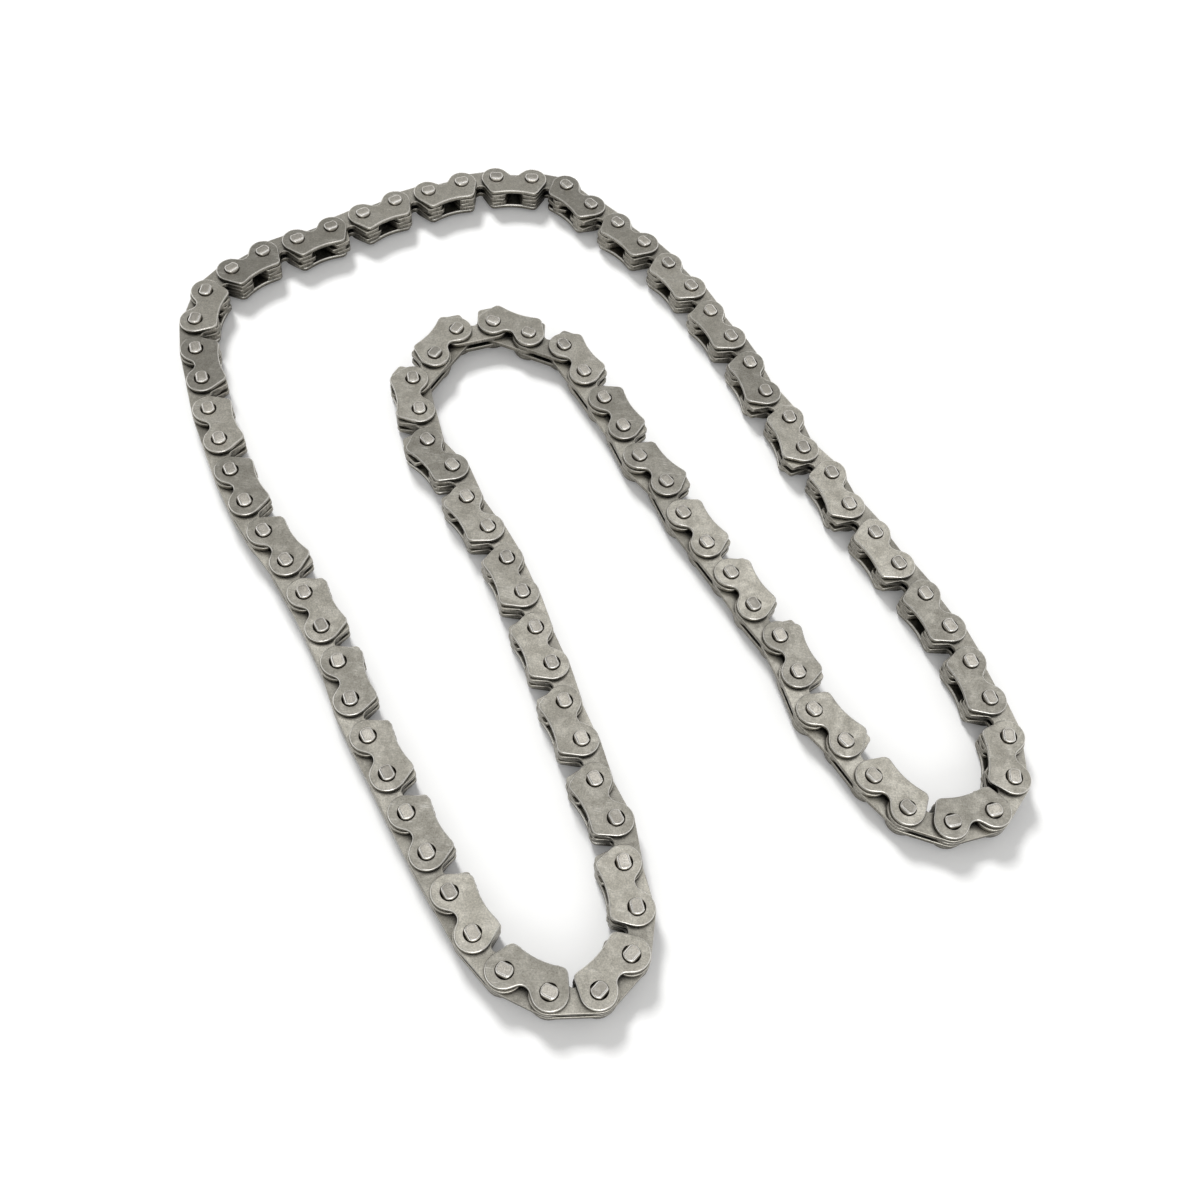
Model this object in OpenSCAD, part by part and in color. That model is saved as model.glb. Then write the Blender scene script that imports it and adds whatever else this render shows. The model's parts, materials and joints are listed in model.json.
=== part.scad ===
// Toothed timing chain: a closed loop of 94 links that lies folded on its side.
// Rows of guide, inner and middle plates hang on round pins that stand along Z.
// The teeth face the inside of the loop, and the straight backs face outwards.

/* [Chain] */
// Pitch, from one pin to the next
pitch = 8; // [7:0.25:12]
// Thickness of every link plate
plate_t = 1; // [0.6:0.05:1.6]
// Side clearance between neighbouring plates
side_gap = 0.05; // [0.02:0.01:0.15]
// Gap between two toothed plates that follow each other in one row
row_gap = 1.3; // [0.8:0.1:2.4]
// Angle of the outer flanks, from square to the pin line
flank_angle = 30; // [26:1:34]

/* [Pins] */
// Diameter of a pin
pin_d = 3; // [2.7:0.1:3.6]
// Diameter of the end face inside the chamfer
pin_face_d = 2.5; // [2:0.1:2.8]
// Length of the chamfer at each end
pin_chamfer = 0.2; // [0.1:0.05:0.5]
// Length that stands out of the guide plate at each end
pin_proud = 0.7; // [0.6:0.05:1.5]
// Width of the end face across the two flats that staking leaves
pin_flat_w = 2; // [1.2:0.1:2.4]
// Distance from the end at which those flats run out
pin_flat_depth = 1.05; // [0.8:0.05:1.4]
// Radial running clearance of a toothed plate on its pin
pin_play = 0.04; // [0.01:0.01:0.1]

/* [Guide plates] */
// Radius of the two lobes
guide_lobe_r = 3.15; // [2.7:0.05:3.3]
// Distance of a lobe's centre beyond its pin
guide_lobe_out = 0.15; // [0:0.05:0.4]
// Height of the notch floor above the pin line
notch_floor = 0.9; // [0.4:0.1:2]
// Notch radius, as a share of the radius that would touch both lobes
notch_share = 0.85; // [0.5:0.05:0.95]
// Depth of the two points below the pin line
guide_depth = 4.7; // [4.2:0.1:5.4]
// Rise of the hollow between the two points
guide_hollow = 0.6; // [0.3:0.05:0.75]
// Slope of the hollow's straight ends, as a share of the steepest that fits
hollow_share = 0.8; // [0.5:0.05:0.9]
// Radius of the points
guide_tip_r = 1.3; // [0.8:0.05:1.6]

/* [Toothed plates] */
// Depth of the teeth below the pin line
tooth_depth = 4.8; // [4.2:0.1:5.4]
// Depth of the crotch floor below the pin line
crotch_floor = 0.9; // [0.2:0.1:1.6]
// Radius of the crotch
crotch_r = 1.1; // [0.8:0.05:1.4]
// Angle of the inner flanks, from square to the pin line
inner_flank_angle = 19; // [12:1:24]
// Radius of a tooth's corner on the outer flank
tooth_outer_r = 0.8; // [0.4:0.1:1.2]
// Radius of a tooth's corner on the inner flank
tooth_inner_r = 0.5; // [0.3:0.1:0.8]

/* [Hidden] */
$fn = 64;
STEEL = [0.66, 0.65, 0.61];
DARK_STEEL = [0.55, 0.54, 0.5];
BRIGHT_STEEL = [0.8, 0.79, 0.75];

// The runs of the loop, clockwise from above, each with the heading of its links
// in degrees. A run is rigid, and its end pins are the pivots that are modelled.
RUNS = [
    ["top_run", [-254, 89, 62, 50, 38, 38, 42, 40, 34, 32, 22, 8, -4, -39, -35, -37, -42]],
    ["right_upper", [-46, -54, -52, -56, -62]],
    ["right_link", [-49]],
    ["right_lower", [-66, -42, -62, -48, -54, -50]],
    ["right_end", [-54, -61, -64, -66, -84, -118, -156, -190, -220]],
    ["inner_right_lower", [-230, -222, -246, -242, -228, -234]],
    ["inner_right_link", [-230]],
    ["inner_right_upper", [-230, -240, -222, -240, -234]],
    ["inner_end", [-232, -231, -194, -193, -154, -114, -113, -70, -68]],
    ["inner_left_upper", [-42, -60, -50, -54, -60]],
    ["inner_left_link", [-64]],
    ["inner_left_lower", [-60, -66, -60, -66, -56]],
    ["left_end", [-74, -68, -90, -124, -170, -198, -221, -232, -232, -234, -235, -234, -236]],
    ["left_lower", [-242, -236, -234, -232, -226]],
    ["left_link", [-230]],
    ["left_upper", [-236, -240, -240, -246, -246]]
];
BODIES = [for (b = [0 : len(RUNS) - 1]) b];
function body_of(name) = [for (b = BODIES) if (RUNS[b][0] == name) b][0];
// The two runs that turn a little as a whole, so that the loop closes exactly
CLOSER_A = body_of("top_run");
CLOSER_B = body_of("right_end");

function total(v, i = 0) = i == len(v) ? 0 : v[i] + total(v, i + 1);
function unit(heading) = [cos(heading), sin(heading)];
function angle_of(v) = atan2(v.y, v.x);
function chord(headings) = [
    total([for (h = headings) cos(h)]),
    total([for (h = headings) sin(h)])
];
function turned(headings, turn) = [for (h = headings) h + turn];

// The closing runs and the rest of the loop form a triangle of known sides
CHORDS = [for (run = RUNS) chord(run[1])];
REST = [
    -total([for (b = BODIES) if (b != CLOSER_A && b != CLOSER_B) CHORDS[b].x]),
    -total([for (b = BODIES) if (b != CLOSER_A && b != CLOSER_B) CHORDS[b].y])
];
side_a = norm(CHORDS[CLOSER_A]);
side_b = norm(CHORDS[CLOSER_B]);
side_rest = norm(REST);
corner = acos((side_a ^ 2 + side_rest ^ 2 - side_b ^ 2) / (2 * side_a * side_rest));
bend_side = sign(cross(REST, CHORDS[CLOSER_A]));
heading_a = angle_of(REST) + bend_side * corner;
turn_a = heading_a - angle_of(CHORDS[CLOSER_A]);
turn_b = angle_of(REST - side_a * unit(heading_a)) - angle_of(CHORDS[CLOSER_B]);

function closing_turn(b) = b == CLOSER_A ? turn_a : b == CLOSER_B ? turn_b : 0;
HEADINGS = [for (b = BODIES) for (h = turned(RUNS[b][1], closing_turn(b))) h];
LINKS = len(HEADINGS);
FIRST_LINK = [for (b = BODIES) total([for (k = BODIES) if (k < b) len(RUNS[k][1])])];

// Pin centres, one more than the links because the last one meets the first
RAW_PINS = [
    for (i = 0, p = [0, 0]; i <= LINKS; p = p + pitch * unit(HEADINGS[min(i, LINKS - 1)]), i = i + 1) p
];
centre = [
    (min([for (p = RAW_PINS) p.x]) + max([for (p = RAW_PINS) p.x])) / 2,
    (min([for (p = RAW_PINS) p.y]) + max([for (p = RAW_PINS) p.y])) / 2
];
PINS = [for (p = RAW_PINS) p - centre];

// Every second link is an outer one, which holds the pins
function is_outer(link) = link % 2 == 1;
function links_of(b) = [for (i = [0 : len(RUNS[b][1]) - 1]) FIRST_LINK[b] + i];
function outer_links(b) = [for (link = links_of(b)) if (is_outer(link)) link];
function inner_links(b) = [for (link = links_of(b)) if (!is_outer(link)) link];
function kinds(b) = concat(
    len(outer_links(b)) > 0 ? ["guide_plates", "middle_plates", "pins"] : [],
    len(inner_links(b)) > 0 ? ["inner_plates"] : []
);
function node_name(b, kind) = str(RUNS[b][0], "_", kind);

// Layers of plates along the pins, counted from the floor
LAYERS = 5;
layer_step = plate_t + side_gap;
pin_length = LAYERS * plate_t + (LAYERS - 1) * side_gap + 2 * pin_proud;
function layer_z(layer) = pin_proud + layer * layer_step;

// Outline points shared by both kinds of plate, in the frame of the first pin
lobe_r = (pitch - row_gap) / 2;
flank_normal = [-cos(flank_angle), -sin(flank_angle)];
function mirrored(p) = [pitch - p.x, p.y];
// Centre of a corner between the front and a flank that lies flank_out from the pin
function tip_centre(flank_out, depth, r) = [
    -(flank_out - r + sin(flank_angle) * (r - depth)) / cos(flank_angle),
    r - depth
];
function both_sides(points) = concat(
    points,
    [for (i = [len(points) - 1 : -1 : 0]) mirrored(points[i])]
);

module at_both_ends(point, r) {
    translate(point) circle(r);
    translate(mirrored(point)) circle(r);
}

module pin_holes(d) {
    at_both_ends([0, 0], d / 2);
}

// Guide plate: two round lobes with a notch between them, and two shallow points.
// Short straight edges join the notch to the lobes and the hollow to the points.
module guide_outline() {
    half = pitch / 2;
    lobe = [-guide_lobe_out, 0];
    between = half - lobe.x;
    touching_r = (between ^ 2 + notch_floor ^ 2 - guide_lobe_r ^ 2) / (2 * (guide_lobe_r - notch_floor));
    notch_r = notch_share * touching_r;
    notch = [half, notch_floor + notch_r];
    notch_lean = atan2(between, notch.y) - acos((guide_lobe_r + notch_r) / norm(notch - lobe));
    to_notch = [sin(notch_lean), cos(notch_lean)];

    tip = tip_centre(guide_lobe_r + lobe * flank_normal, guide_depth, guide_tip_r);
    reach = half - tip.x;
    apex = guide_hollow - guide_depth;
    drop = tip.y - apex;
    plain_r = (reach ^ 2 + drop ^ 2 - guide_tip_r ^ 2) / (2 * (guide_tip_r - drop));
    hollow_lean = hollow_share * asin(reach / (plain_r + guide_tip_r));
    to_hollow = [sin(hollow_lean), -cos(hollow_lean)];
    hollow_r = (reach * to_hollow.x - drop * to_hollow.y - guide_tip_r) / (1 + to_hollow.y);
    hollow = [half, apex - hollow_r];

    difference() {
        polygon(both_sides([
            notch - notch_r * to_notch,
            lobe + guide_lobe_r * to_notch,
            lobe,
            lobe + guide_lobe_r * flank_normal,
            tip + guide_tip_r * flank_normal,
            tip,
            tip + guide_tip_r * to_hollow,
            hollow - hollow_r * to_hollow
        ]));
        translate(notch) circle(notch_r);
        translate(hollow) circle(hollow_r);
    }
    at_both_ends(lobe, guide_lobe_r);
    at_both_ends(tip, guide_tip_r);
}

// Toothed plate: a straight back and two teeth with a deep crotch between them
module tooth_outline() {
    tip = tip_centre(lobe_r, tooth_depth, tooth_outer_r);
    crotch = [pitch / 2, -crotch_floor - crotch_r];
    into_crotch = [cos(inner_flank_angle), -sin(inner_flank_angle)];
    inner_y = tooth_inner_r - tooth_depth;
    reach = crotch * into_crotch - crotch_r - tooth_inner_r;
    inner_tip = [
        (reach + sin(inner_flank_angle) * inner_y) / cos(inner_flank_angle),
        inner_y
    ];
    difference() {
        polygon(both_sides([
            [0, lobe_r],
            [0, 0],
            lobe_r * flank_normal,
            tip + tooth_outer_r * flank_normal,
            tip,
            [tip.x, -tooth_depth],
            [inner_tip.x, -tooth_depth],
            inner_tip,
            inner_tip + tooth_inner_r * into_crotch,
            crotch - crotch_r * into_crotch,
            crotch
        ]));
        translate(crotch) circle(crotch_r);
    }
    at_both_ends([0, 0], lobe_r);
    at_both_ends(tip, tooth_outer_r);
    at_both_ends(inner_tip, tooth_inner_r);
}

module on_link(link, layer) {
    translate([PINS[link].x, PINS[link].y, layer_z(layer)])
        rotate(HEADINGS[link])
            linear_extrude(plate_t)
                children();
}

module guide_plates(b) {
    color(STEEL)
        for (link = outer_links(b))
            for (layer = [0, LAYERS - 1])
                on_link(link, layer)
                    difference() {
                        guide_outline();
                        pin_holes(pin_d);
                    }
}

module middle_plates(b) {
    color(DARK_STEEL)
        for (link = outer_links(b))
            on_link(link, 2)
                toothed_plate();
}

module inner_plates(b) {
    color(DARK_STEEL)
        for (link = inner_links(b))
            for (layer = [1, 3])
                on_link(link, layer)
                    toothed_plate();
}

module toothed_plate() {
    difference() {
        tooth_outline();
        pin_holes(pin_d + 2 * pin_play);
    }
}

// Pin along Z: two flats at each end slope outwards until they run out of the round
module staked_pin() {
    face_half = pin_flat_w / 2;
    widening = (pin_d / 2 - face_half) / pin_flat_depth;
    end_half = face_half - widening * pin_chamfer;
    middle_half = face_half + widening * pin_length / 2;

    intersection() {
        rotate_extrude()
            polygon([
                [0, 0],
                [pin_face_d / 2, 0],
                [pin_d / 2, pin_chamfer],
                [pin_d / 2, pin_length - pin_chamfer],
                [pin_face_d / 2, pin_length],
                [0, pin_length]
            ]);
        rotate([90, 0, 90])
            linear_extrude(2 * pin_d, center = true)
                polygon([
                    [-end_half, -pin_chamfer],
                    [end_half, -pin_chamfer],
                    [middle_half, pin_length / 2],
                    [end_half, pin_length + pin_chamfer],
                    [-end_half, pin_length + pin_chamfer],
                    [-middle_half, pin_length / 2]
                ]);
    }
}

module pins(b) {
    color(BRIGHT_STEEL)
        for (link = outer_links(b))
            for (p = [PINS[link], PINS[link + 1]])
                translate([p.x, p.y, 0])
                    rotate(HEADINGS[link])
                        staked_pin();
}

for (b = BODIES) {
    guide_plates(b);
    middle_plates(b);
    inner_plates(b);
    pins(b);
}
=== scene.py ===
"""Looks of a toothed timing chain that lies folded on its side.

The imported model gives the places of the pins. From them this script lays out the 94 links of the
loop, builds every plate and pin anew with its rounded stamped edges, and dresses them as tumbled steel.
"""

import json
import logging
import math
from dataclasses import dataclass, field
from enum import Enum

import bpy
import numpy as np
from mathutils import Matrix, Vector


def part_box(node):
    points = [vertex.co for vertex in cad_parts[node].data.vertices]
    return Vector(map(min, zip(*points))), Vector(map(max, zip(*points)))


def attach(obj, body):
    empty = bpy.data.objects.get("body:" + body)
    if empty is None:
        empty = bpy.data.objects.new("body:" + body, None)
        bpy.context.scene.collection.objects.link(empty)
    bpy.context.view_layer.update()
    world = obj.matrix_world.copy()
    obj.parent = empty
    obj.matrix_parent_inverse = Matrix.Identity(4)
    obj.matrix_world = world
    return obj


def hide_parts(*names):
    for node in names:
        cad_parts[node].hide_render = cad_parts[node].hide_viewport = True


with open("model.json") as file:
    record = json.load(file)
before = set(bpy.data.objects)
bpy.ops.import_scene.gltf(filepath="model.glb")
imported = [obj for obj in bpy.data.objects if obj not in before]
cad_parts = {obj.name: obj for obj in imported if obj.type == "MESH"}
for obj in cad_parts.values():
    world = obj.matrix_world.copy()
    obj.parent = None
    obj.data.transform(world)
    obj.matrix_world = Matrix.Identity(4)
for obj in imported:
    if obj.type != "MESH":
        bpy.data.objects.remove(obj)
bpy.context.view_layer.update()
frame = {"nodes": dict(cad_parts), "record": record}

Tree = bpy.types.NodeTree
Socket = bpy.types.NodeSocket

LOG = logging.getLogger("timing_chain")
MM = 0.001
PER_MM = 1 / MM
SEED = 94

# A mix node's colour sockets go by number, because its other sockets have the same names.
MIX_FROM, MIX_TO, MIXED = 6, 7, 2


class Kind(Enum):
    """The four kinds of piece, by the ending of their node's name."""

    GUIDE_PLATES = "guide_plates"
    MIDDLE_PLATES = "middle_plates"
    INNER_PLATES = "inner_plates"
    PINS = "pins"

    @property
    def slot(self) -> str:
        """Name of the material slot that the kind takes its finish from."""
        toothed = self in (Kind.MIDDLE_PLATES, Kind.INNER_PLATES)
        return "toothed_plates" if toothed else self.value


class Bend(Enum):
    """Which way an arc of an outline bulges, as the sign of its outward normal."""

    OUT = 1
    IN = -1


def direction(degrees: np.ndarray | float) -> np.ndarray:
    """Unit vectors of one or more angles, as (cosine, sine).

    Args:
        degrees: angles from +X, anticlockwise.

    Returns:
        An array whose last axis holds x and y.
    """
    turn = np.radians(degrees)
    return np.stack([np.cos(turn), np.sin(turn)], axis=-1)


def towards(azimuth: float, elevation: float) -> Vector:
    """Unit vector from the chain to the place of a lamp or of the camera.

    Args:
        azimuth: angle from -Y, anticlockwise from above, in degrees.
        elevation: height above the horizon, in degrees.

    Returns:
        The vector.
    """
    turn, rise = math.radians(azimuth), math.radians(elevation)
    return Vector((math.sin(turn) * math.cos(rise), -math.cos(turn) * math.cos(rise), math.sin(rise)))


def lifted(flat: np.ndarray, height: np.ndarray) -> np.ndarray:
    """Points of a grid in space, from their places in plan and the height of each column.

    Args:
        flat: places in plan, as (rows, columns, 2).
        height: height of each column.

    Returns:
        The points, as (rows, columns, 3).
    """
    return np.concatenate([flat, np.broadcast_to(height, flat.shape[:2])[..., None]], axis=-1)


def grid_faces(rows: np.ndarray, closed: bool) -> np.ndarray:
    """Quads between neighbouring entries of a grid of vertex numbers.

    Args:
        rows: vertex numbers, as (around, across).
        closed: whether the last row joins the first.

    Returns:
        The quads, each wound from one row to the next and then across.
    """
    here = rows if closed else rows[:-1]
    there = np.roll(rows, -1, axis=0) if closed else rows[1:]
    return np.stack([here[:, :-1], there[:, :-1], there[:, 1:], here[:, 1:]], axis=-1).reshape(-1, 4)


def linear(hex_colour: str) -> tuple[float, float, float, float]:
    """Turns an sRGB hex colour into linear red, green, blue and alpha.

    Args:
        hex_colour: six hex digits after a hash.

    Returns:
        The colour that a shader socket takes.
    """
    parts = [int(hex_colour[i : i + 2], 16) / 255 for i in (1, 3, 5)]
    return (*[c / 12.92 if c <= 0.04045 else ((c + 0.055) / 1.055) ** 2.4 for c in parts], 1.0)


def add_object(name: str, data: bpy.types.ID) -> bpy.types.Object:
    """Adds an object to the scene.

    Args:
        name: name of the object.
        data: its mesh, lamp or camera.

    Returns:
        The object.
    """
    thing = bpy.data.objects.new(name, data)
    bpy.context.scene.collection.objects.link(thing)
    return thing


def empty_tree(owner: bpy.types.ID) -> Tree:
    """Gives a material or a world a node tree with nothing in it.

    Args:
        owner: the material or the world.

    Returns:
        The tree.
    """
    owner.use_nodes = True
    owner.node_tree.nodes.clear()
    return owner.node_tree


def add_node(
    tree: Tree, kind: str, inputs: dict[str | int, object], output: str | int = 0, **settings: object
) -> Socket | None:
    """Adds a shader node with its settings and links.

    Args:
        tree: the node tree.
        kind: the node's type, without its leading ShaderNode.
        inputs: what each input socket takes, which is a value or another node's output.
        output: the output that is wanted.
        **settings: properties of the node itself.

    Returns:
        That output, or nothing for a node that ends the tree.
    """
    node = tree.nodes.new("ShaderNode" + kind)
    for name, value in settings.items():
        setattr(node, name, value)
    for socket, value in inputs.items():
        if isinstance(value, Socket):
            tree.links.new(value, node.inputs[socket])
        else:
            node.inputs[socket].default_value = value
    return node.outputs[output] if node.outputs else None


@dataclass(frozen=True)
class Arc:
    """One arc of a plate's outline, in millimetres and degrees.

    Attributes:
        centre: centre of its circle.
        radius: radius of its circle.
        start: bearing of its first point, anticlockwise from +X.
        end: bearing of its last point.
        steps: facets along it.
        bend: which way it bulges.
    """

    centre: tuple[float, float]
    radius: float
    start: float
    end: float
    steps: int
    bend: Bend = Bend.OUT


@dataclass
class Outline:
    """Half of a plate's outline, from the middle of its back round one end to the middle of its front.

    Attributes:
        points: places in millimetres, with the first pin at the origin and the second along +X.
        normals: unit vectors that point out of the plate.
    """

    points: np.ndarray
    normals: np.ndarray

    @classmethod
    def through(cls, arcs: list[Arc]) -> "Outline":
        """Strings arcs together, with a straight edge from each arc's end to the next one's start.

        A point of an arc is its centre plus its radius times (cosine, sine) of an angle that runs
        evenly from the first to the last. The outward normal is that direction, turned round for an
        arc that bulges inwards.

        Args:
            arcs: the arcs in order.

        Returns:
            The outline.
        """
        rays = [direction(np.linspace(arc.start, arc.end, arc.steps + 1)) for arc in arcs]
        points = [np.asarray(arc.centre) + arc.radius * ray for arc, ray in zip(arcs, rays)]
        normals = [arc.bend.value * ray for arc, ray in zip(arcs, rays)]
        return cls(np.concatenate(points), np.concatenate(normals))


@dataclass(frozen=True)
class LinkForm:
    """Sizes that every plate shares, in millimetres and degrees.

    Attributes:
        pitch: distance between the plate's two pins.
        flank_angle: how far below the pin line the outer flank's normal points.
    """

    pitch: float = 8.0
    flank_angle: float = 30.0

    @property
    def half(self) -> float:
        """Distance from a pin to the middle of the plate."""
        return self.pitch / 2

    def tip_centre(self, flank: float, depth: float, radius: float) -> tuple[float, float]:
        """Centre of a corner that touches the outer flank and the line at a depth.

        The flank is the line whose normal points flank_angle below the pin line. The corner's centre
        lies one radius inside both lines.

        Args:
            flank: distance of the flank from the first pin.
            depth: distance of the front edge below the pin line.
            radius: radius of the corner.

        Returns:
            The centre, in the plate's frame.
        """
        lean = math.radians(self.flank_angle)
        x = -(flank - radius + math.sin(lean) * (radius - depth)) / math.cos(lean)
        return x, radius - depth


@dataclass(frozen=True)
class GuideForm(LinkForm):
    """Outline sizes of a guide plate, whose lobes stand a little beyond the pins.

    Attributes:
        lobe_r: radius of the lobes.
        lobe_out: how far a lobe's centre lies beyond its pin.
        notch_floor: height of the notch's floor above the pin line.
        notch_share: radius of the notch, as a share of the one that would touch both lobes.
        depth: distance of the points below the pin line.
        hollow: height of the hollow's top above the points.
        hollow_share: lean of the edge from point to hollow, as a share of that at which both touch.
        tip_r: radius of the points.
    """

    lobe_r: float = 3.14
    lobe_out: float = 0.15
    notch_floor: float = 0.9
    notch_share: float = 0.85
    depth: float = 4.69
    hollow: float = 0.6
    hollow_share: float = 0.8
    tip_r: float = 1.29

    def outline(self) -> Outline:
        """Notch, lobe, point and hollow, joined by common tangents.

        The notch's tangent to the lobe leans by the angle to the notch's centre less the angle whose
        cosine is the sum of both radii over the distance of the centres. For the hollow the lean is
        given, and its radius follows.
        """
        rise, across = self.notch_floor, self.half + self.lobe_out
        touching = (across**2 + rise**2 - self.lobe_r**2) / (2 * (self.lobe_r - rise))
        notch_r = self.notch_share * touching
        notch = (across, rise + notch_r)
        lean = math.atan2(*notch) - math.acos((self.lobe_r + notch_r) / math.hypot(*notch))
        notch_lean = math.degrees(lean)

        flank_out = self.lobe_r + self.lobe_out * math.cos(math.radians(self.flank_angle))
        tip = self.tip_centre(flank_out, self.depth, self.tip_r)
        reach = self.half - tip[0]
        apex = self.hollow - self.depth
        drop = tip[1] - apex
        plain = (reach**2 + drop**2 - self.tip_r**2) / (2 * (self.tip_r - drop))
        slope = self.hollow_share * math.asin(reach / (plain + self.tip_r))
        out, down = math.sin(slope), math.cos(slope)
        hollow_r = (reach * out + drop * down - self.tip_r) / (1 - down)
        hollow_lean = math.degrees(slope)

        flank = 180 + self.flank_angle
        return Outline.through([
            Arc((self.half, notch[1]), notch_r, 270, 270 - notch_lean, steps=5, bend=Bend.IN),
            Arc((-self.lobe_out, 0), self.lobe_r, 90 - notch_lean, flank, steps=14),
            Arc(tip, self.tip_r, flank, 270 + hollow_lean, steps=5),
            Arc((self.half, apex - hollow_r), hollow_r, 90 + hollow_lean, 90, steps=3, bend=Bend.IN),
        ])


@dataclass(frozen=True)
class ToothedForm(LinkForm):
    """Outline sizes of a toothed plate.

    Attributes:
        lobe_r: radius of the round ends about the pins.
        depth: distance of the teeth's ends below the pin line.
        crotch_floor: distance of the crotch's floor below the pin line.
        crotch_r: radius of the crotch.
        inner_angle: how far below the pin line the inner flank's normal points.
        outer_r: radius of a tooth's outer corner.
        inner_r: radius of its inner corner.
    """

    lobe_r: float = 3.34
    depth: float = 4.65
    crotch_floor: float = 0.9
    crotch_r: float = 1.1
    inner_angle: float = 19.0
    outer_r: float = 0.9
    inner_r: float = 0.7

    def outline(self) -> Outline:
        """Straight back, lobe, outer flank, tooth and crotch.

        The tooth's inner corner touches the front line and the inner flank, which is the tangent of
        the crotch whose normal points inner_angle below the pin line.
        """
        lean = math.radians(self.inner_angle)
        crotch = (self.half, -self.crotch_floor - self.crotch_r)
        inner_y = self.inner_r - self.depth
        reach = crotch[0] * math.cos(lean) - crotch[1] * math.sin(lean) - self.crotch_r - self.inner_r
        inner = ((reach + math.sin(lean) * inner_y) / math.cos(lean), inner_y)
        outer = self.tip_centre(self.lobe_r, self.depth, self.outer_r)
        flank = 180 + self.flank_angle
        return Outline.through([
            Arc((self.half, 0), self.lobe_r, 90, 90, steps=0),
            Arc((0, 0), self.lobe_r, 90, flank, steps=12),
            Arc(outer, self.outer_r, flank, 270, steps=3),
            Arc(inner, self.inner_r, 270, 360 - self.inner_angle, steps=3),
            Arc(crotch, self.crotch_r, 180 - self.inner_angle, 90, steps=5, bend=Bend.IN),
        ])


@dataclass
class Solid:
    """A closed surface with the values that its material reads.

    Attributes:
        points: vertices in millimetres.
        faces: four vertex numbers to a face.
        smooth: whether each face is shaded smooth.
        rim: 1 on a rounded edge and 0 on a flat, at each vertex.
        side: 1 on a sheared wall or a pin's foot and 0 elsewhere, at each vertex; it marks
            where the walls' darker colour, partly painted shade, and the painted shade at a pin's foot
            go.
        run: millimetres along and across the wall, at each vertex.
    """

    points: np.ndarray
    faces: np.ndarray
    smooth: np.ndarray
    rim: np.ndarray
    side: np.ndarray
    run: np.ndarray

    def mirrored(self, pitch: float) -> "Solid":
        """Adds the surface's mirror image about the middle between two pins.

        Args:
            pitch: distance between the pins.

        Returns:
            Both halves, not joined.
        """
        return Solid(
            np.concatenate([self.points, self.points * [-1, 1, 1] + [pitch, 0, 0]]),
            np.concatenate([self.faces, self.faces[:, ::-1] + len(self.points)]),
            np.tile(self.smooth, 2),
            np.tile(self.rim, 2),
            np.tile(self.side, 2),
            np.tile(self.run, (2, 1)),
        )

    def welded(self) -> "Solid":
        """The same surface with vertices at one place made one."""
        places = np.round(self.points, 5) + 0.0
        _, first, number = np.unique(places, axis=0, return_index=True, return_inverse=True)
        faces = number.reshape(-1)[self.faces]
        return Solid(
            self.points[first], faces, self.smooth, self.rim[first], self.side[first], self.run[first]
        )


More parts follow.
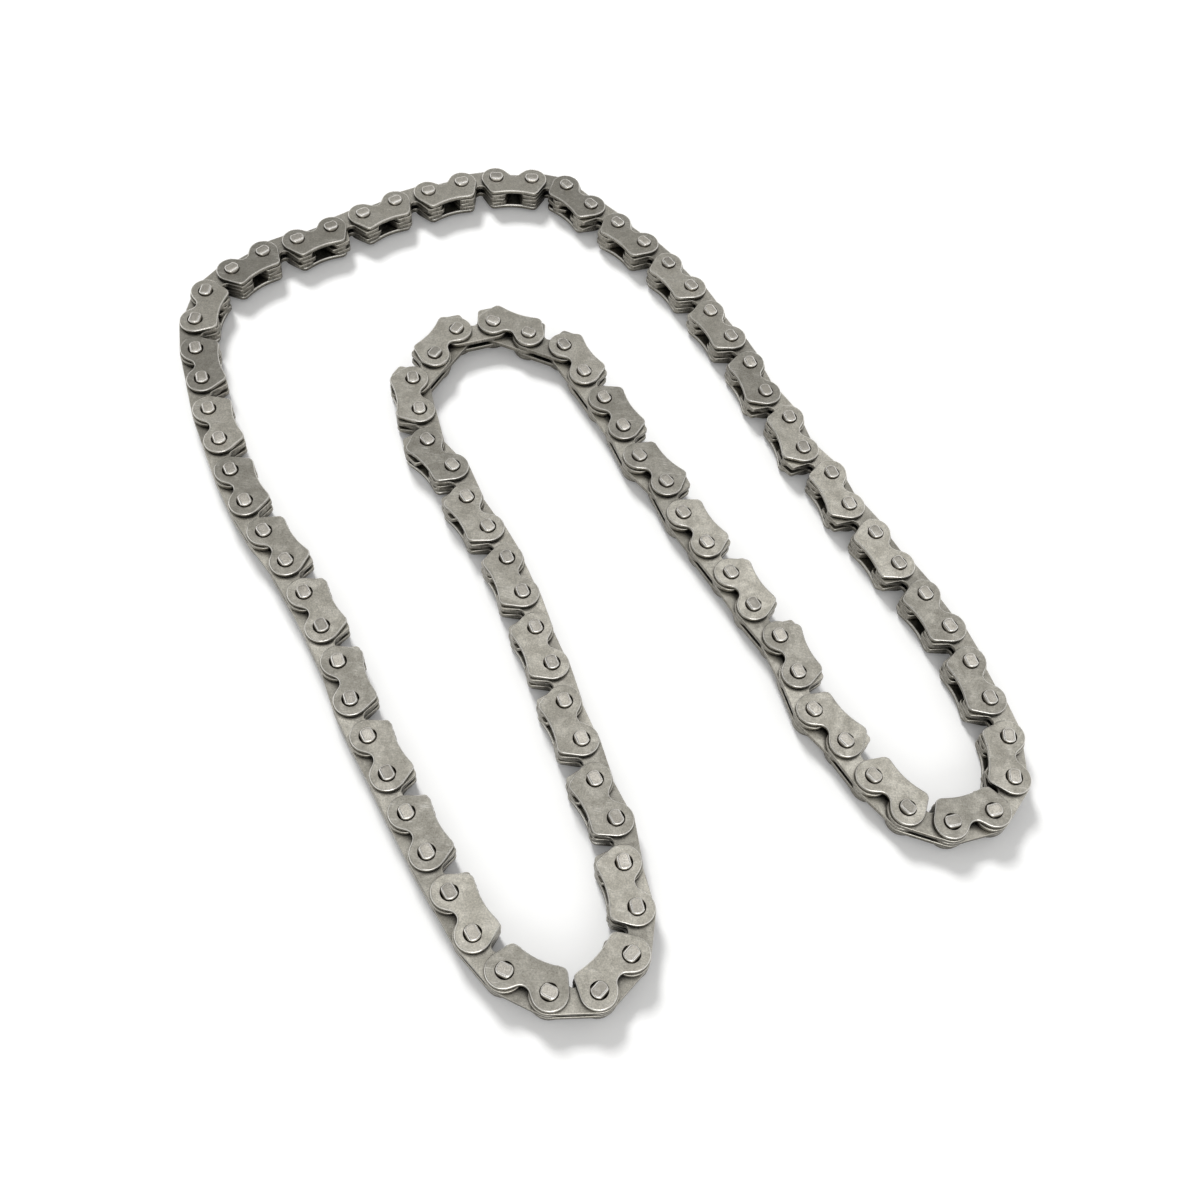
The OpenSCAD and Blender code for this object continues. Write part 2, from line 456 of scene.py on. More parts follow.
@dataclass(frozen=True)
class Stamping:
    """How a plate is stamped and tumbled, in millimetres.

    Attributes:
        thickness: thickness of the sheet.
        edge: radius that tumbling gives the outline's edges.
        hole_r: radius of the pin holes.
        hole_edge: radius of the holes' edges.
        hole_steps: facets round each of those.
        edge_steps: facets round each of the outline's edges.
        middle_steps: facets along the plate's middle line.
    """

    thickness: float
    edge: float
    hole_r: float
    hole_edge: float
    hole_steps: int
    edge_steps: int = 2
    middle_steps: int = 4

    def section(self, edge: float, steps: int) -> tuple[np.ndarray, np.ndarray, np.ndarray]:
        """Wall of the sheet from its upper face to its lower one, with a quarter round at each end.

        A quarter round of radius r stands r (1 - cosine) inside the wall at height r sine from its
        centre, for angles from 90 degrees to 0 and on to -90.

        Args:
            edge: radius of the quarter rounds.
            steps: facets round each of them, or none for a plain wall.

        Returns:
            Inset from the outline, height above the lower face, and how round each point's edge is.
        """
        top = np.radians(np.linspace(90, 0, steps + 1)) if steps else np.radians([90.0])
        turn = np.concatenate([top, -top[::-1]])
        centre = np.repeat([self.thickness - edge, edge], len(top))
        return edge * (1 - np.cos(turn)), centre + edge * np.sin(turn), np.abs(np.sin(2 * turn))

    def press(self, outline: Outline, pitch: float) -> Solid:
        """Carries the section round the outline and closes the flats up to the two holes.

        The wall is outline minus inset times normal. Each flat is ruled from the outline's inset
        edge, and from a few points on the plate's middle line, to the circle of the hole at the same
        bearing. The other half is the mirror image.

        Args:
            outline: half of the plate's outline.
            pitch: distance between the two pins.

        Returns:
            The whole plate, with its lower face at height 0.
        """
        inset, height, rim = self.section(self.edge, self.edge_steps)
        wall = lifted(outline.points[:, None] - inset[None, :, None] * outline.normals[:, None], height)
        count, across = wall.shape[:2]

        share = np.linspace(0, 1, self.middle_steps + 1)[1:-1, None]
        middle = [wall[-1, k] * (1 - share) + wall[0, k] * share for k in (0, -1)]
        ring = np.concatenate([wall[:, 0], middle[0]])
        hole_inset, hole_height, _ = self.section(self.hole_edge, self.hole_steps)
        ray = direction(np.degrees(np.arctan2(ring[:, 1], ring[:, 0])))
        hole = lifted((self.hole_r + hole_inset)[None, :, None] * ray[:, None], hole_height)
        points = np.concatenate([wall.reshape(-1, 3), *middle, hole.reshape(-1, 3)])

        wall_ids = np.arange(count * across).reshape(count, across)
        middle_ids = wall_ids.size + np.arange(2 * len(share)).reshape(2, -1)
        hole_ids = np.arange(wall_ids.size + middle_ids.size, len(points)).reshape(hole.shape[:2])
        upper = np.stack([np.concatenate([wall_ids[:, 0], middle_ids[0]]), hole_ids[:, 0]], axis=1)
        lower = np.stack([np.concatenate([wall_ids[:, -1], middle_ids[1]]), hole_ids[:, -1]], axis=1)
        parts = [
            grid_faces(wall_ids, closed=False)[:, ::-1],
            grid_faces(upper, closed=True),
            grid_faces(lower, closed=True)[:, ::-1],
            grid_faces(hole_ids, closed=True),
        ]
        smooth = np.repeat([True, False, False, True], [len(part) for part in parts])

        loose = len(points) - wall_ids.size
        # The upright part of the wall takes the walls' darker colour, which is partly painted shade.
        upright = np.isclose(inset, 0).astype(float)
        run = np.concatenate([[0], np.cumsum(np.hypot(*np.diff(outline.points, axis=0).T))])
        depth = np.concatenate([[0], np.cumsum(np.hypot(np.diff(inset), np.diff(height)))])
        along = np.stack(np.broadcast_arrays(run[:, None], depth[None, :]), axis=-1).reshape(-1, 2)
        half = Solid(
            points,
            np.concatenate(parts),
            smooth,
            np.concatenate([np.tile(rim, count), np.zeros(loose)]),
            np.concatenate([np.tile(upright, count), np.zeros(loose)]),
            np.concatenate([along, np.zeros((loose, 2))]),
        )
        return half.mirrored(pitch).welded()


@dataclass(frozen=True)
class PinForm:
    """A pin whose ends are staked to two sloped flats, in millimetres.

    Attributes:
        radius: radius of the pin.
        length: length over both ends.
        flat_start: distance from the end at which the flats start.
        edge: radius of the end's edge.
        start_width: width across the flats where they start.
        end_width: width across the flats at the end.
        steps: facets round the pin.
        edge_steps: facets round the end's edge.
        flat_ring: where a ring crosses the flats, as a share of flat_start.
        face_ring: size of a ring on the end face, as a share of the face.
    """

    radius: float
    length: float
    flat_start: float = 1.05
    edge: float = 0.3
    start_width: float = 2.9
    end_width: float = 2.0
    steps: int = 36
    edge_steps: int = 3
    flat_ring: float = 0.6
    face_ring: float = 0.55

    def solid(self) -> Solid:
        """Revolves the profile and draws it in to the flats.

        The radius at a height and bearing is the smaller of the profile's radius and half the width
        across the flats over the sine of the bearing, both less the inset of the rounded edge. The
        sine is held to 0.01 or more. Rings that shrink to a point close the end face. The rim starts
        at 0.2 on the flats, and the foot, which takes painted shade, fades through 0.3 where the edge
        starts.
        """
        turn = np.radians(np.linspace(0, 90, self.edge_steps + 1))
        inset = np.concatenate([[0, 0], self.edge * (1 - np.cos(turn)), [self.edge] * 2])
        height = self.length - np.concatenate([
            [self.flat_start, self.flat_ring * self.flat_start], self.edge * (1 - np.sin(turn)), [0, 0]
        ])
        shrink = np.concatenate([np.ones(len(height) - 2), [self.face_ring, 0]])
        share = 1 - (self.length - height) / self.flat_start
        width = self.start_width + (self.end_width - self.start_width) * share

        bearing = np.arange(self.steps) * 360 / self.steps
        slope = np.maximum(np.abs(np.sin(np.radians(bearing))), 0.01)[:, None]
        reach = shrink * np.minimum(self.radius - inset, (width / 2 - inset) / slope)
        reach = np.concatenate([reach[:, ::-1], reach], axis=1)
        points = lifted(
            reach[..., None] * direction(bearing)[:, None],
            np.concatenate([height[::-1], self.length - height]),
        )
        ids = np.arange(reach.size).reshape(reach.shape)
        faces = grid_faces(ids, closed=True)[:, ::-1]

        rim = np.concatenate([[0, 0.2], np.sin(2 * turn) ** 0.5, [0, 0]])
        # The foot of the pin end gets the dark wall colour: painted shade where the pin leaves its
        # plate.
        foot = np.concatenate([[1, 1, 0.3], np.zeros(len(height) - 3)])
        return Solid(
            points.reshape(-1, 3),
            faces,
            np.ones(len(faces), bool),
            np.tile(np.concatenate([rim[::-1], rim]), self.steps),
            np.tile(np.concatenate([foot[::-1], foot]), self.steps),
            np.zeros((ids.size, 2)),
        ).welded()


@dataclass
class Link:
    """One link of the loop.

    Attributes:
        start: place of its first pin, in millimetres.
        heading: angle from its first pin to its second, in degrees.
        outer: whether it carries guide plates and pins.
        body: name of the body that its first pin belongs to.
    """

    start: np.ndarray
    heading: float
    outer: bool
    body: str


class Layout:
    """Places of the links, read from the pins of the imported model."""

    def __init__(self, nodes: dict[str, bpy.types.Object], pitch: float) -> None:
        """Finds every pin, and walks round the loop from pin to pin.

        Args:
            nodes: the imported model's nodes, by name.
            pitch: distance between neighbouring pins, in millimetres.
        """
        self.nodes = nodes
        self.pitch = pitch
        ending = "_" + Kind.PINS.value
        places, owners = [], []
        for name in sorted(nodes):
            if name.endswith(ending):
                found = self.pin_centres(name)
                places.extend(found)
                owners.extend([name.removesuffix(ending)] * len(found))
        self.links = self.walk(np.array(places), owners)

    def plan(self, name: str) -> np.ndarray:
        """Places of a node's vertices in plan, in millimetres."""
        mesh = self.nodes[name].data
        flat = np.zeros(len(mesh.vertices) * 3)
        mesh.vertices.foreach_get("co", flat)
        return flat.reshape(-1, 3)[:, :2] / MM

    def pin_centres(self, name: str) -> list[np.ndarray]:
        """Centres of the pins in a node, each the middle of the box of a group of near vertices."""
        left = self.plan(name)
        centres = []
        while len(left):
            near = np.hypot(*(left - left[0]).T) < self.pitch / 2
            centres.append((left[near].min(axis=0) + left[near].max(axis=0)) / 2)
            left = left[~near]
        return centres

    def walk(self, places: np.ndarray, owners: list[str]) -> list[Link]:
        """Orders the pins along the chain, clockwise from above, and makes a link of each step.

        The next pin is the unused one whose distance is nearest to the pitch. Neighbouring pins of
        different bodies are always joined by an inner link, and that sets which links are inner
        ones all round the loop.

        Args:
            places: pin centres.
            owners: the body that each pin belongs to.

        Returns:
            The links in order.
        """
        order, unused = [0], set(range(1, len(places)))
        while unused:
            last = places[order[-1]]
            order.append(min(unused, key=lambda i: abs(math.dist(places[i], last) - self.pitch)))
            unused.remove(order[-1])
        x, y = places[order].T
        anticlockwise = (x * np.roll(y, -1) - np.roll(x, -1) * y).sum() > 0
        if anticlockwise:
            order.reverse()
        ring = places[order]
        steps = np.roll(ring, -1, axis=0) - ring
        headings = np.degrees(np.arctan2(steps[:, 1], steps[:, 0]))
        names = [owners[i] for i in order]
        count = len(order)
        change = next(i for i in range(count) if names[i] != names[(i + 1) % count])
        return [
            Link(ring[i], float(headings[i]), (i - change) % 2 == 1, names[i]) for i in range(count)
        ]

    def links_of(self, body: str, kind: Kind) -> list[Link]:
        """Links whose plates or pins a node holds.

        An outer link belongs to the body of its pins. An inner link belongs to the body that has
        plates round its first pin.

        Args:
            body: name of the body.
            kind: kind of the node's pieces.

        Returns:
            The links in order.
        """
        if kind is not Kind.INNER_PLATES:
            return [link for link in self.links if link.outer and link.body == body]
        plan = self.plan(f"{body}_{kind.value}")
        near = self.pitch / 4
        return [
            link for link in self.links
            if not link.outer and (np.hypot(*(plan - link.start).T) < near).any()
        ]


@dataclass(frozen=True)
class Patterns:
    """Shader outputs that colour, roughness and relief read, all between 0 and 1.

    Attributes:
        tone: how light the piece is among its like.
        side: 1 on a sheared wall, whose darker colour is partly painted shade, or on a
            pin's foot, which is painted shade.
        bare: 1 on bare steel and 0 in a stain.
        grain: noise of the satin.
        scratches: 1 in a scratch.
        lines: noise drawn out along the punch's stroke.
        polish_and_highlight: how far a rounded edge is burnished, and lightened as a painted
            highlight.
    """

    tone: Socket
    side: Socket
    bare: Socket
    grain: Socket
    scratches: Socket
    lines: Socket
    polish_and_highlight: Socket


@dataclass(frozen=True)
class TumbledSteel:
    """Hardened carbon steel, stamped from strip and tumbled with abrasive stones.

    Tumbling leaves an even satin grey with faint stains and fine scratches. These run in all
    directions on real plates, but here along X alone. Tumbling also rounds the edges, which handling
    then burnishes; their nearly white colour is partly that burnish and partly a painted highlight.
    The sheared walls keep the fine upright lines that the punch drew, and their darker colour is
    partly the duller sheared steel and partly painted shade. The crevices are darkened as painted
    shade, which also stands for dark oil.

    Attributes:
        name: name of the material.
        face: colour of the flats.
        stain: colour of the stains.
        burnish_and_highlight: colour of the rounded edges, partly real burnish and partly a painted
            highlight.
        side: colour of the walls, partly duller sheared steel and partly painted shade, or
            of a pin's foot, which is painted shade.
        roughness: roughness of the flats.
        oil_and_shade: colour of the painted shade in the crevices, which also stands for oil.
        oil_and_shade_mm: how far out of a crevice the painted shade reaches.
        oil_and_shade_strength: how fully the painted shade covers a deep crevice, from 0 to 1.
        unshaded_openness: openness of a surface that gets no painted shade, from 0 to 1.
        lines: depth of the punch's lines, from 0 to 1.
        line_mm: width and length of those lines.
        stain_mm: size of the stains.
        grain_mm: size of the satin grain, coarser than the real one to show.
        scratch_mm: length and width of a scratch, wider than the real ones to show.
        scratch_turns: degrees by which each set of scratches turns the noise that it is cut from.
        score: depth of a scratch, as a share of the grain's height.
        tones: factors on the colour of the darkest and the lightest piece.
        speckle: factors on the colour of the darkest and the lightest grain.
        batches: how far the pieces' patterns are spread in the noise.
        relief_mm: height of the grain.
    """

    name: str
    face: str
    stain: str
    # Near-white colour of the rounded edges: partly burnish, partly a painted highlight.
    burnish_and_highlight: str
    # Walls' colour, partly duller sheared steel and partly painted shade; at a pin's foot it is painted
    # shade.
    side: str
    roughness: float
    # Painted shade in the crevices, found by ambient occlusion, which also stands for oil.
    oil_and_shade: str = "#14120F"
    oil_and_shade_mm: float = 3.0
    oil_and_shade_strength: float = 0.98
    unshaded_openness: float = 0.76
    lines: float = 1.0
    line_mm: tuple[float, float] = (0.2, 2.0)
    stain_mm: float = 2.6
    grain_mm: float = 0.2
    scratch_mm: tuple[float, float] = (3.0, 0.11)
    scratch_turns: tuple[float, float, float] = (24.0, 103.0, -41.0)
    score: float = 0.6
    tones: tuple[float, float] = (0.74, 1.18)
    speckle: tuple[float, float] = (0.62, 1.38)
    batches: float = 37.0
    relief_mm: float = 0.01

    def material(self) -> bpy.types.Material:
        """Makes the material.

        A stain is a little rougher than bare steel, and a burnished edge is the least rough. The
        grain and the punch's lines stand out of the surface, and the scratches are sunk in it.
        """
        material = bpy.data.materials.new(self.name)
        tree = empty_tree(material)
        on = self.patterns(tree)
        matt = add_node(tree, "MapRange", {
            "Value": on.bare, "To Min": self.roughness + 0.07, "To Max": self.roughness - 0.03,
        })
        gloss = add_node(tree, "Math", {0: on.polish_and_highlight, 1: 0.14}, operation="MULTIPLY")
        roughness = add_node(tree, "Math", {0: matt, 1: gloss}, operation="SUBTRACT")

        cut = add_node(tree, "Math", {0: on.lines, 1: on.side}, operation="MULTIPLY")
        raised = add_node(tree, "Math", {0: cut, 1: self.lines, 2: on.grain}, operation="MULTIPLY_ADD")
        scored = add_node(
            tree, "Math", {0: on.scratches, 1: -self.score, 2: raised}, operation="MULTIPLY_ADD"
        )
        bump = add_node(tree, "Bump", {"Height": scored, "Distance": self.relief_mm * MM})
        shader = add_node(tree, "BsdfPrincipled", {
            "Base Color": self.colour(tree, on), "Metallic": 1.0, "Roughness": roughness,
            "Normal": bump,
        })
        add_node(tree, "OutputMaterial", {"Surface": shader})
        return material

    def patterns(self, tree: Tree) -> Patterns:
        """Adds the noises, and reads the values that a piece's vertices hold.

        Every noise has a fourth coordinate that goes with the piece's tone, so that no two pieces
        are alike. Scratches are the peaks of a noise that is drawn out along X.

        Args:
            tree: the material's node tree.

        Returns:
            The patterns.
        """
        place = add_node(tree, "TexCoord", {}, "Object")
        names = ("tone", "rim", "side")
        tone, rim, side = (
            add_node(tree, "Attribute", {}, "Fac", attribute_name=name) for name in names
        )
        batch = add_node(tree, "Math", {0: tone, 1: self.batches}, operation="MULTIPLY")
        stains = add_node(tree, "TexNoise", {
            "Vector": place, "W": batch, "Scale": PER_MM / self.stain_mm, "Detail": 5.0,
            "Roughness": 0.62, "Distortion": 0.6,
        }, noise_dimensions="4D")
        bare = add_node(tree, "MapRange", {
            "Value": stains, "From Min": 0.36, "From Max": 0.66,
        }, interpolation_type="SMOOTHSTEP")
        grain = add_node(tree, "TexNoise", {
            "Vector": place, "W": batch, "Scale": PER_MM / self.grain_mm, "Roughness": 0.7,
        }, noise_dimensions="4D")
        wall = add_node(tree, "UVMap", {}, uv_map="run")
        drawn = add_node(tree, "Mapping", {
            "Vector": wall, "Scale": (1 / self.line_mm[0], 1 / self.line_mm[1], 1.0),
        })
        lines = add_node(tree, "TexNoise", {
            "Vector": drawn, "W": batch, "Scale": 1.0, "Detail": 3.0, "Roughness": 0.6,
        }, noise_dimensions="4D")
        # The rounded edges' burnish, which the colour also uses as a painted highlight, is uneven with
        # the stains.
        uneven = add_node(tree, "MapRange", {
            "Value": stains, "From Min": 0.3, "From Max": 0.6, "To Min": 0.7,
        })
        rounded = add_node(tree, "MapRange", {"Value": rim, "From Min": 0.2})
        polish_and_highlight = add_node(tree, "Math", {0: rounded, 1: uneven}, operation="MULTIPLY")

        marks = []
        for turn in self.scratch_turns:
            along = add_node(tree, "Mapping", {
                "Vector": place,
                "Rotation": (0.0, 0.0, math.radians(turn)),
                "Scale": (PER_MM / self.scratch_mm[0], PER_MM / self.scratch_mm[1], PER_MM),
            })
            streaks = add_node(tree, "TexNoise", {
                "Vector": along, "W": batch, "Scale": 1.0, "Detail": 1.0,
            }, noise_dimensions="4D")
            peaks = {"Value": streaks, "From Min": 0.66, "From Max": 0.76}
            marks.append(add_node(tree, "MapRange", peaks))
        scratches = marks[0]
        for mark in marks[1:]:
            scratches = add_node(tree, "Math", {0: scratches, 1: mark}, operation="MAXIMUM")
        return Patterns(tone, side, bare, grain, scratches, lines, polish_and_highlight)

    def colour(self, tree: Tree, on: Patterns) -> Socket:
        """Mixes the colour.

        It starts as stain or face, and is made lighter or darker with the piece's tone and the
        grain. Four layers follow: scratches, which are fainter in a stain, then the streaked wall,
        whose darker colour is partly painted shade, with painted shade at a pin's foot, then the
        burnish of the rim, partly a painted highlight, and painted shade where the surface is shut
        in by its neighbours, which also stands for oil.

        Args:
            tree: the material's node tree.
            on: the patterns on the surface.

        Returns:
            The colour.
        """
        shade = add_node(tree, "MapRange", {
            "Value": on.tone, "To Min": self.tones[0], "To Max": self.tones[1],
        })
        speckle = add_node(tree, "MapRange", {
            "Value": on.grain, "From Min": 0.25, "From Max": 0.75,
            "To Min": self.speckle[0], "To Max": self.speckle[1],
        })
        level = add_node(tree, "Math", {0: shade, 1: speckle}, operation="MULTIPLY")
        rubbed = add_node(tree, "MapRange", {"Value": on.bare, "From Min": 0.2, "To Min": 0.25})
        worn = add_node(tree, "Math", {0: on.scratches, 1: rubbed}, operation="MULTIPLY")
        streaked = add_node(tree, "MapRange", {
            "Value": on.lines, "From Min": 0.3, "From Max": 0.7, "To Min": 0.55,
        })
        # The walls' darker colour, partly painted shade, and painted shade at a pin's foot.
        sheared = add_node(tree, "Math", {0: on.side, 1: streaked}, operation="MULTIPLY")
        # Painted shade: the colour turns dark where neighbours are close, which also stands for oil.
        openness = add_node(tree, "AmbientOcclusion", {"Distance": self.oil_and_shade_mm * MM}, "AO", samples=4)
        oil_and_shade_amount = add_node(tree, "MapRange", {
            "Value": openness, "From Min": 0.28, "From Max": self.unshaded_openness,
            "To Min": self.oil_and_shade_strength, "To Max": 0.0,
        }, interpolation_type="SMOOTHSTEP")

        colour = add_node(tree, "Mix", {
            0: on.bare, MIX_FROM: linear(self.stain), MIX_TO: linear(self.face),
        }, MIXED, data_type="RGBA")
        colour = add_node(tree, "HueSaturation", {"Color": colour, "Value": level})
        # The rim's layer is partly a painted highlight, and the wall and last layers are painted shade.
        layers = (
            (worn, self.burnish_and_highlight), (sheared, self.side), (on.polish_and_highlight, self.burnish_and_highlight), (oil_and_shade_amount, self.oil_and_shade)
        )
        for amount, layer in layers:
            colour = add_node(tree, "Mix", {
                0: amount, MIX_FROM: colour, MIX_TO: linear(layer),
            }, MIXED, data_type="RGBA")
        return colour


# Each finish: face, stain, edge colour that is partly a painted highlight, then wall colour that is
# partly painted shade; the pins' dark colours are painted shade.
GUIDE_STEEL = TumbledSteel(
    "tumbled_steel_of_guide_plates", "#C9C5BA", "#B3AFA4", "#F2F0EA", "#625E55", roughness=0.34
)
TOOTHED_STEEL = TumbledSteel(
    "tumbled_steel_of_toothed_plates", "#CFCBC0", "#B7B3A8", "#D0CCC2", "#57534B", roughness=0.36,
    unshaded_openness=0.62
)
PIN_STEEL = TumbledSteel(
    "burnished_steel_of_pins", "#D4CFC5", "#C3BEB3", "#FAF8F3", "#453F36", roughness=0.34,
    oil_and_shade="#332C25", oil_and_shade_strength=0.6, lines=0.0
)


@dataclass
class Chain:
    """The timing chain: plates on pins, in five layers, with sizes in millimetres.

    Attributes:
        guide: outline of the guide plates.
        toothed: outline of the middle and inner plates.
        pin_r: radius of the pins.
        play: gap between a pin and its hole.
        guide_edge: radius of a guide plate's edges.
        toothed_edge: radius of a toothed plate's edges.
        lips: radius of the edges of a guide plate's holes.
        templates: the piece of each slot, once prepared.
        materials: the finish of each slot, once prepared.
    """

    guide: GuideForm = GuideForm()
    toothed: ToothedForm = ToothedForm()
    pin_r: float = 1.46
    play: float = 0.04
    guide_edge: float = 0.28
    toothed_edge: float = 0.12
    lips: float = 0.12
    templates: dict[str, Solid] = field(default_factory=dict)
    materials: dict[str, bpy.types.Material] = field(default_factory=dict)

    def prepare(self, thickness: float, pin_length: float) -> None:
        """Makes one plate of each form, one pin and the three finishes.

        Args:
            thickness: thickness of every plate.
            pin_length: length of every pin.
        """
        hole_r = self.pin_r + self.play
        guide = Stamping(thickness, self.guide_edge, hole_r, self.lips, hole_steps=1)
        toothed = Stamping(thickness, self.toothed_edge, hole_r, 0.0, hole_steps=0)
        self.templates = {
            Kind.GUIDE_PLATES.slot: guide.press(self.guide.outline(), self.guide.pitch),
            Kind.INNER_PLATES.slot: toothed.press(self.toothed.outline(), self.toothed.pitch),
            Kind.PINS.slot: PinForm(self.pin_r, pin_length).solid(),
        }
        self.materials = {
            Kind.GUIDE_PLATES.slot: GUIDE_STEEL.material(),
            Kind.INNER_PLATES.slot: TOOTHED_STEEL.material(),
            Kind.PINS.slot: PIN_STEEL.material(),
        }

    def placed(self, kind: Kind, links: list[Link], low: float, high: float) -> np.ndarray:
        """Where each copy of a template stands.

        Args:
            kind: kind of the node's pieces.
            links: the links that they belong to.
            low: height of the node's lowest point.
            high: height of its highest point.

        Returns:
            Rows of x, y, height and heading.
        """
        top = self.templates[kind.slot].points[:, 2].max()
        levels = sorted({round(low, 3), round(high - top, 3)})
        steps = (0, self.guide.pitch) if kind is Kind.PINS else (0,)
        return np.array([
            (*(link.start + step * direction(link.heading)), level, link.heading)
            for link in links
            for step in steps
            for level in levels
        ])

    def copies(self, kind: Kind, places: np.ndarray) -> np.ndarray:
        """Turns a template by each heading about its first pin and moves it there.

        Args:
            kind: kind of the node's pieces.
            places: rows of x, y, height and heading.

        Returns:
            All vertices, in metres.
        """
        shape = self.templates[kind.slot].points
        ahead = direction(places[:, 3])[:, None]
        left = np.stack([-ahead[..., 1], ahead[..., 0]], axis=-1)
        flat = shape[None, :, :1] * ahead + shape[None, :, 1:2] * left + places[:, None, :2]
        height = shape[None, :, 2:] + places[:, None, 2:3]
        return np.concatenate([flat, height], axis=-1).reshape(-1, 3) * MM

    def dress(self, node: str, body: str, layout: Layout, chance: np.random.Generator) -> None:
        """Makes the piece that stands for a node, as one mesh of all copies of a template.

        A quad with two corners at one vertex becomes a triangle, and one with fewer than three
        different corners is left out.

        Args:
            node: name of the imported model's node.
            body: name of the body that it rides on.
            layout: places of the links.
            chance: source of each piece's tone.
        """
        kind = Kind(node.removeprefix(body + "_"))
        low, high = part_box(node)
        places = self.placed(kind, layout.links_of(body, kind), low.z / MM, high.z / MM)
        shape = self.templates[kind.slot]
        count, copies = len(shape.points), len(places)
        quads = (shape.faces[None] + count * np.arange(copies)[:, None, None]).reshape(-1, 4)
        kept = quads != np.roll(quads, 1, axis=1)
        corners = kept.sum(axis=1)
        real = corners > 2
        loops = quads[real][kept[real]]
        starts = np.concatenate([[0], np.cumsum(corners[real])[:-1]])

        mesh = bpy.data.meshes.new(f"{node}_steel")
        mesh.vertices.add(count * copies)
        mesh.vertices.foreach_set("co", self.copies(kind, places).ravel())
        mesh.loops.add(len(loops))
        mesh.loops.foreach_set("vertex_index", loops)
        mesh.polygons.add(len(starts))
        mesh.polygons.foreach_set("loop_start", starts)
        mesh.polygons.foreach_set("use_smooth", np.tile(shape.smooth, copies)[real])
        values = {
            "rim": np.tile(shape.rim, copies),
            "side": np.tile(shape.side, copies),
            "tone": np.repeat(chance.random(copies), count),
        }
        for name, value in values.items():
            mesh.attributes.new(name, "FLOAT", "POINT").data.foreach_set("value", value)
        runs = np.tile(shape.run, (copies, 1))[loops]
        mesh.uv_layers.new(name="run").data.foreach_set("uv", runs.ravel())
        mesh.update(calc_edges=True)
        mesh.validate()
        mesh.materials.append(self.materials[kind.slot])
        piece = add_object(mesh.name, mesh)
        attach(piece, body)
        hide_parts(node)
        LOG.info("%s: %d copies, %d faces", mesh.name, copies, len(mesh.polygons))

    def build(self) -> None:
        """Dresses every node of every body."""
        bodies = frame["record"]["behaviour"]["bodies"]
        nodes = frame["nodes"]
        middle = next(name for name in sorted(nodes) if name.endswith(Kind.MIDDLE_PLATES.value))
        pins = next(name for name in sorted(nodes) if name.endswith(Kind.PINS.value))
        (low, high), (foot, head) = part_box(middle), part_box(pins)
        self.prepare((high.z - low.z) / MM, (head.z - foot.z) / MM)
        layout = Layout(nodes, self.guide.pitch)
        chance = np.random.default_rng(SEED)
        for body, members in bodies.items():
            for node in members:
                self.dress(node, body, layout, chance)


@dataclass(frozen=True)
class Softbox:
    """A rectangular studio lamp that faces the chain.

    Attributes:
        name: name of the lamp.
        azimuth: where it stands, in degrees, with 0 at the camera's side.
        elevation: height above the horizon, in degrees.
        distance: metres from the middle of the chain.
        size: width and height in metres.
        level: brightness of its face, where 1 is white.
        mirrored: whether polished surfaces show it.
    """

    name: str
    azimuth: float
    elevation: float
    distance: float
    size: tuple[float, float]
    level: float
    mirrored: bool = True

    def build(self) -> None:
        """Adds the lamp. Its power is its brightness times pi times the area of its face."""
        lamp = bpy.data.lights.new(self.name, "AREA")
        lamp.shape = "RECTANGLE"
        lamp.size, lamp.size_y = self.size
        lamp.energy = self.level * math.pi * self.size[0] * self.size[1]
        away = towards(self.azimuth, self.elevation)
        place = add_object(self.name, lamp)
        place.location = away * self.distance
        place.visible_glossy = self.mirrored
        place.rotation_euler = away.to_track_quat("Z", "Y").to_euler()


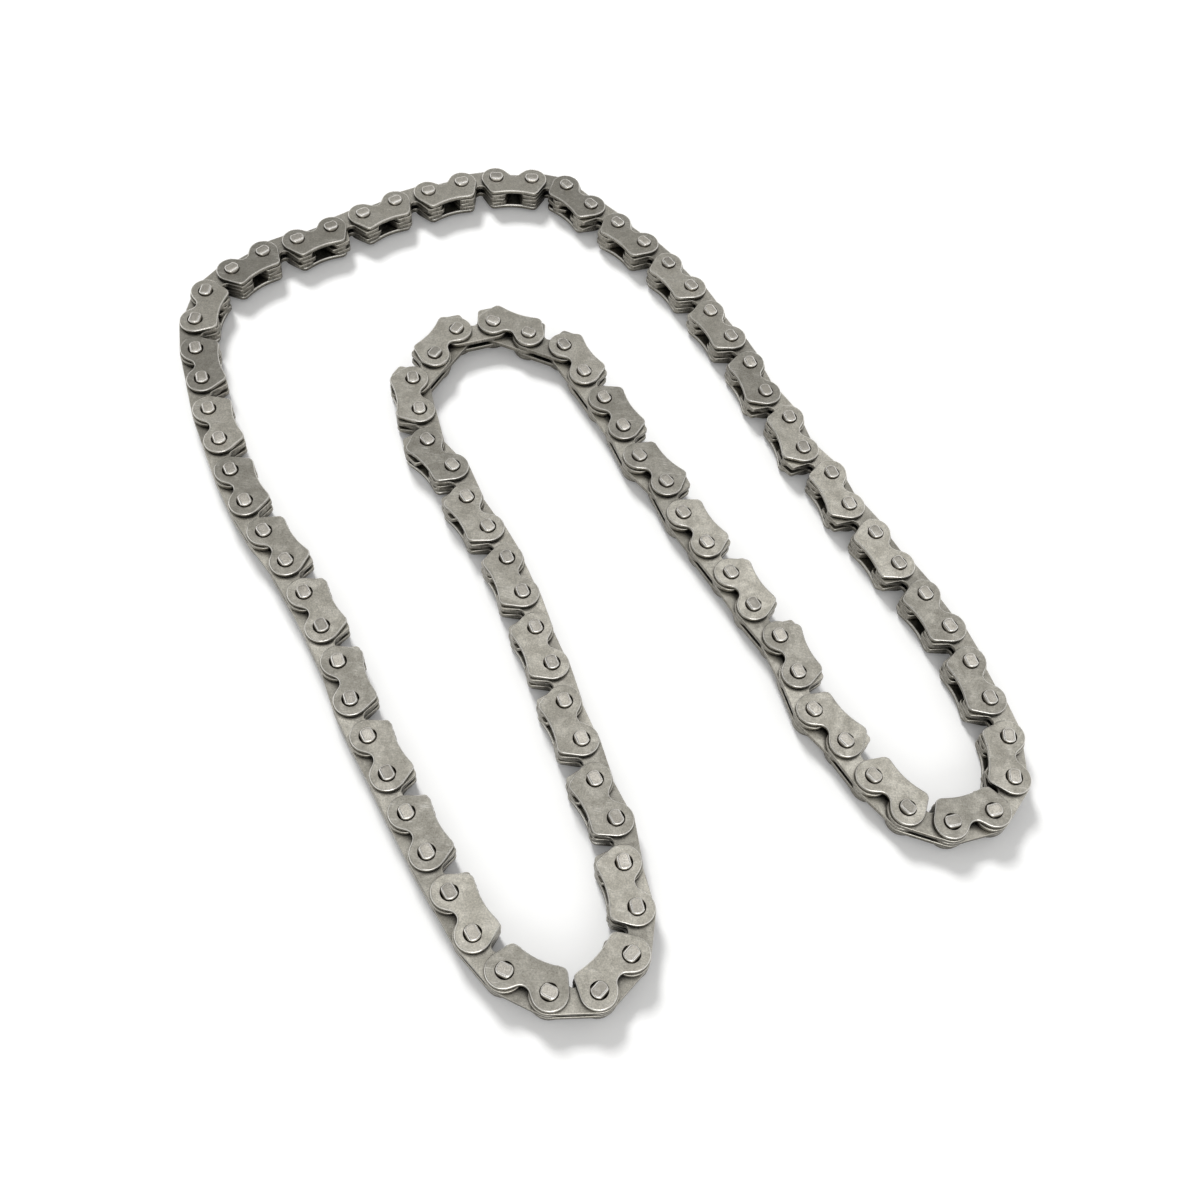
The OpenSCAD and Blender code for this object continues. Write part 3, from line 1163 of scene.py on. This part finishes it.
@dataclass(frozen=True)
class Studio:
    """Camera, lamps, background and floor.

    Each edge in the reflections is a pair of sines of elevation, from its start to its end.

    Attributes:
        lamps: the softboxes.
        floor: colour of the floor's paint.
        glow: how much whiter than its paint the floor looks.
        floor_size: length of the floor's sides, in metres.
        foot_edge: edge between the wall's white foot and the wall.
        wall: brightness of the wall above its white foot, in reflections.
        ceiling_edge: edge between the wall and the lit ceiling.
        ceiling: brightness of the lit ceiling, in reflections.
        zenith_edge: edge between the lit ceiling and its middle.
        zenith: brightness straight above, in reflections.
        tilt: how much lower the lit ceiling starts on the right.
        fill: brightness of the light from all round.
        lens: focal length in millimetres on a sensor 36 mm wide.
        target: point in millimetres that the camera looks at.
        distance: distance from it, in millimetres.
        azimuth: direction that the camera looks along, in degrees from +Y.
        elevation: height of the camera above the horizon, in degrees.
        roll: turn of the camera about its axis, in degrees.
    """

    lamps: tuple[Softbox, ...]
    floor: str = "#FAFAF9"
    glow: float = 0.08
    floor_size: float = 1.0
    foot_edge: tuple[float, float] = (0.3, 0.52)
    wall: float = 0.25
    ceiling_edge: tuple[float, float] = (0.75, 0.83)
    ceiling: float = 1.34
    zenith_edge: tuple[float, float] = (0.88, 0.97)
    zenith: float = 0.6
    tilt: float = 0.12
    fill: float = 0.46
    lens: float = 42.658
    target: tuple[float, float, float] = (6.869, -17.656, 6.6)
    distance: float = 264.366
    azimuth: float = 0.1646
    elevation: float = 58.426
    roll: float = 7.9024

    def add_camera(self) -> None:
        """Places the camera where the photograph was taken from."""
        turn, roll = math.radians(self.azimuth), math.radians(self.roll)
        right = Vector((math.cos(turn), math.sin(turn), 0))
        back = towards(self.azimuth, self.elevation)
        up = back.cross(right)
        across = right * math.cos(roll) + up * math.sin(roll)
        upright = up * math.cos(roll) - right * math.sin(roll)
        camera = bpy.data.cameras.new("camera")
        camera.sensor_width = 36.0
        camera.lens = self.lens
        camera.clip_start, camera.clip_end = 0.01, 50.0
        place = add_object("camera", camera)
        turned = Matrix((across, upright, back)).transposed().to_4x4()
        where = (Vector(self.target) + back * self.distance) * MM
        place.matrix_world = Matrix.Translation(where) @ turned
        bpy.context.scene.camera = place

    def shown(self, tree: Tree) -> Socket:
        """Marks the rays that show a surface to the eye.

        Args:
            tree: the node tree that reads it.

        Returns:
            A value that is 1 for the camera, reflections and what is seen through glass, else 0.
        """
        path = add_node(tree, "LightPath", {}).node.outputs
        eye = path["Is Camera Ray"]
        for name in ("Is Glossy Ray", "Is Transmission Ray"):
            eye = add_node(tree, "Math", {0: eye, 1: path[name]}, operation="MAXIMUM")
        return eye

    def add_world(self) -> None:
        """Surrounds the scene with plain light.

        Reflections show a white foot at the horizon, a grey wall and a lit ceiling.
        """
        world = bpy.data.worlds.new("studio")
        bpy.context.scene.world = world
        tree = empty_tree(world)
        place = add_node(tree, "TexCoord", {}, "Generated")
        across, _, level = add_node(tree, "SeparateXYZ", {0: place}).node.outputs
        height = add_node(tree, "Math", {0: across, 1: self.tilt, 2: level}, operation="MULTIPLY_ADD")
        parts = (
            (level, *self.foot_edge, 1.0, self.wall),
            (height, *self.ceiling_edge, 0.0, self.ceiling - self.wall),
            (height, *self.zenith_edge, 0.0, self.zenith - self.ceiling),
        )
        sockets = ("Value", "From Min", "From Max", "To Min", "To Max")
        wall, above, dimmed = (
            add_node(tree, "MapRange", dict(zip(sockets, part)), interpolation_type="SMOOTHSTEP")
            for part in parts
        )
        upper = add_node(tree, "Math", {0: above, 1: dimmed}, operation="ADD")
        seen = add_node(tree, "Math", {0: wall, 1: upper}, operation="ADD")
        light, backdrop = (
            add_node(tree, "Background", {"Color": linear("#FFFFFF"), "Strength": strength})
            for strength in (self.fill, seen)
        )
        mixed = add_node(tree, "MixShader", {0: self.shown(tree), 1: light, 2: backdrop})
        add_node(tree, "OutputWorld", {"Surface": mixed})

    def add_floor(self) -> None:
        """Lays a square of matt white paint under the chain."""
        half = self.floor_size / 2
        mesh = bpy.data.meshes.new("floor")
        corners = [(-half, -half, 0), (half, -half, 0), (half, half, 0), (-half, half, 0)]
        mesh.from_pydata(corners, [], [(0, 1, 2, 3)])
        material = bpy.data.materials.new("matt_white_paint")
        tree = empty_tree(material)
        paint = add_node(tree, "BsdfDiffuse", {"Color": linear(self.floor)})
        level = add_node(tree, "Math", {0: self.shown(tree), 1: self.glow}, operation="MULTIPLY")
        lift = add_node(tree, "Emission", {"Strength": level})
        surface = add_node(tree, "AddShader", {0: paint, 1: lift})
        add_node(tree, "OutputMaterial", {"Surface": surface})
        mesh.materials.append(material)
        floor = add_object("floor", mesh)

    def build(self) -> None:
        """Sets up everything that isn't part of the chain."""
        bpy.context.scene.view_settings.view_transform = "Standard"
        self.add_camera()
        self.add_world()
        self.add_floor()
        for lamp in self.lamps:
            lamp.build()


STUDIO = Studio(lamps=(
    Softbox("front_softbox", 15, 30, 0.8, (0.6, 0.25), 2.8),
    Softbox("key_softbox", 212, 48, 1.5, (0.36, 0.36), 40.0, mirrored=False),
))


def main() -> None:
    """Builds the studio and the chain."""
    logging.basicConfig(level=logging.INFO, format="%(message)s")
    STUDIO.build()
    Chain().build()


if __name__ == "__main__":
    main()
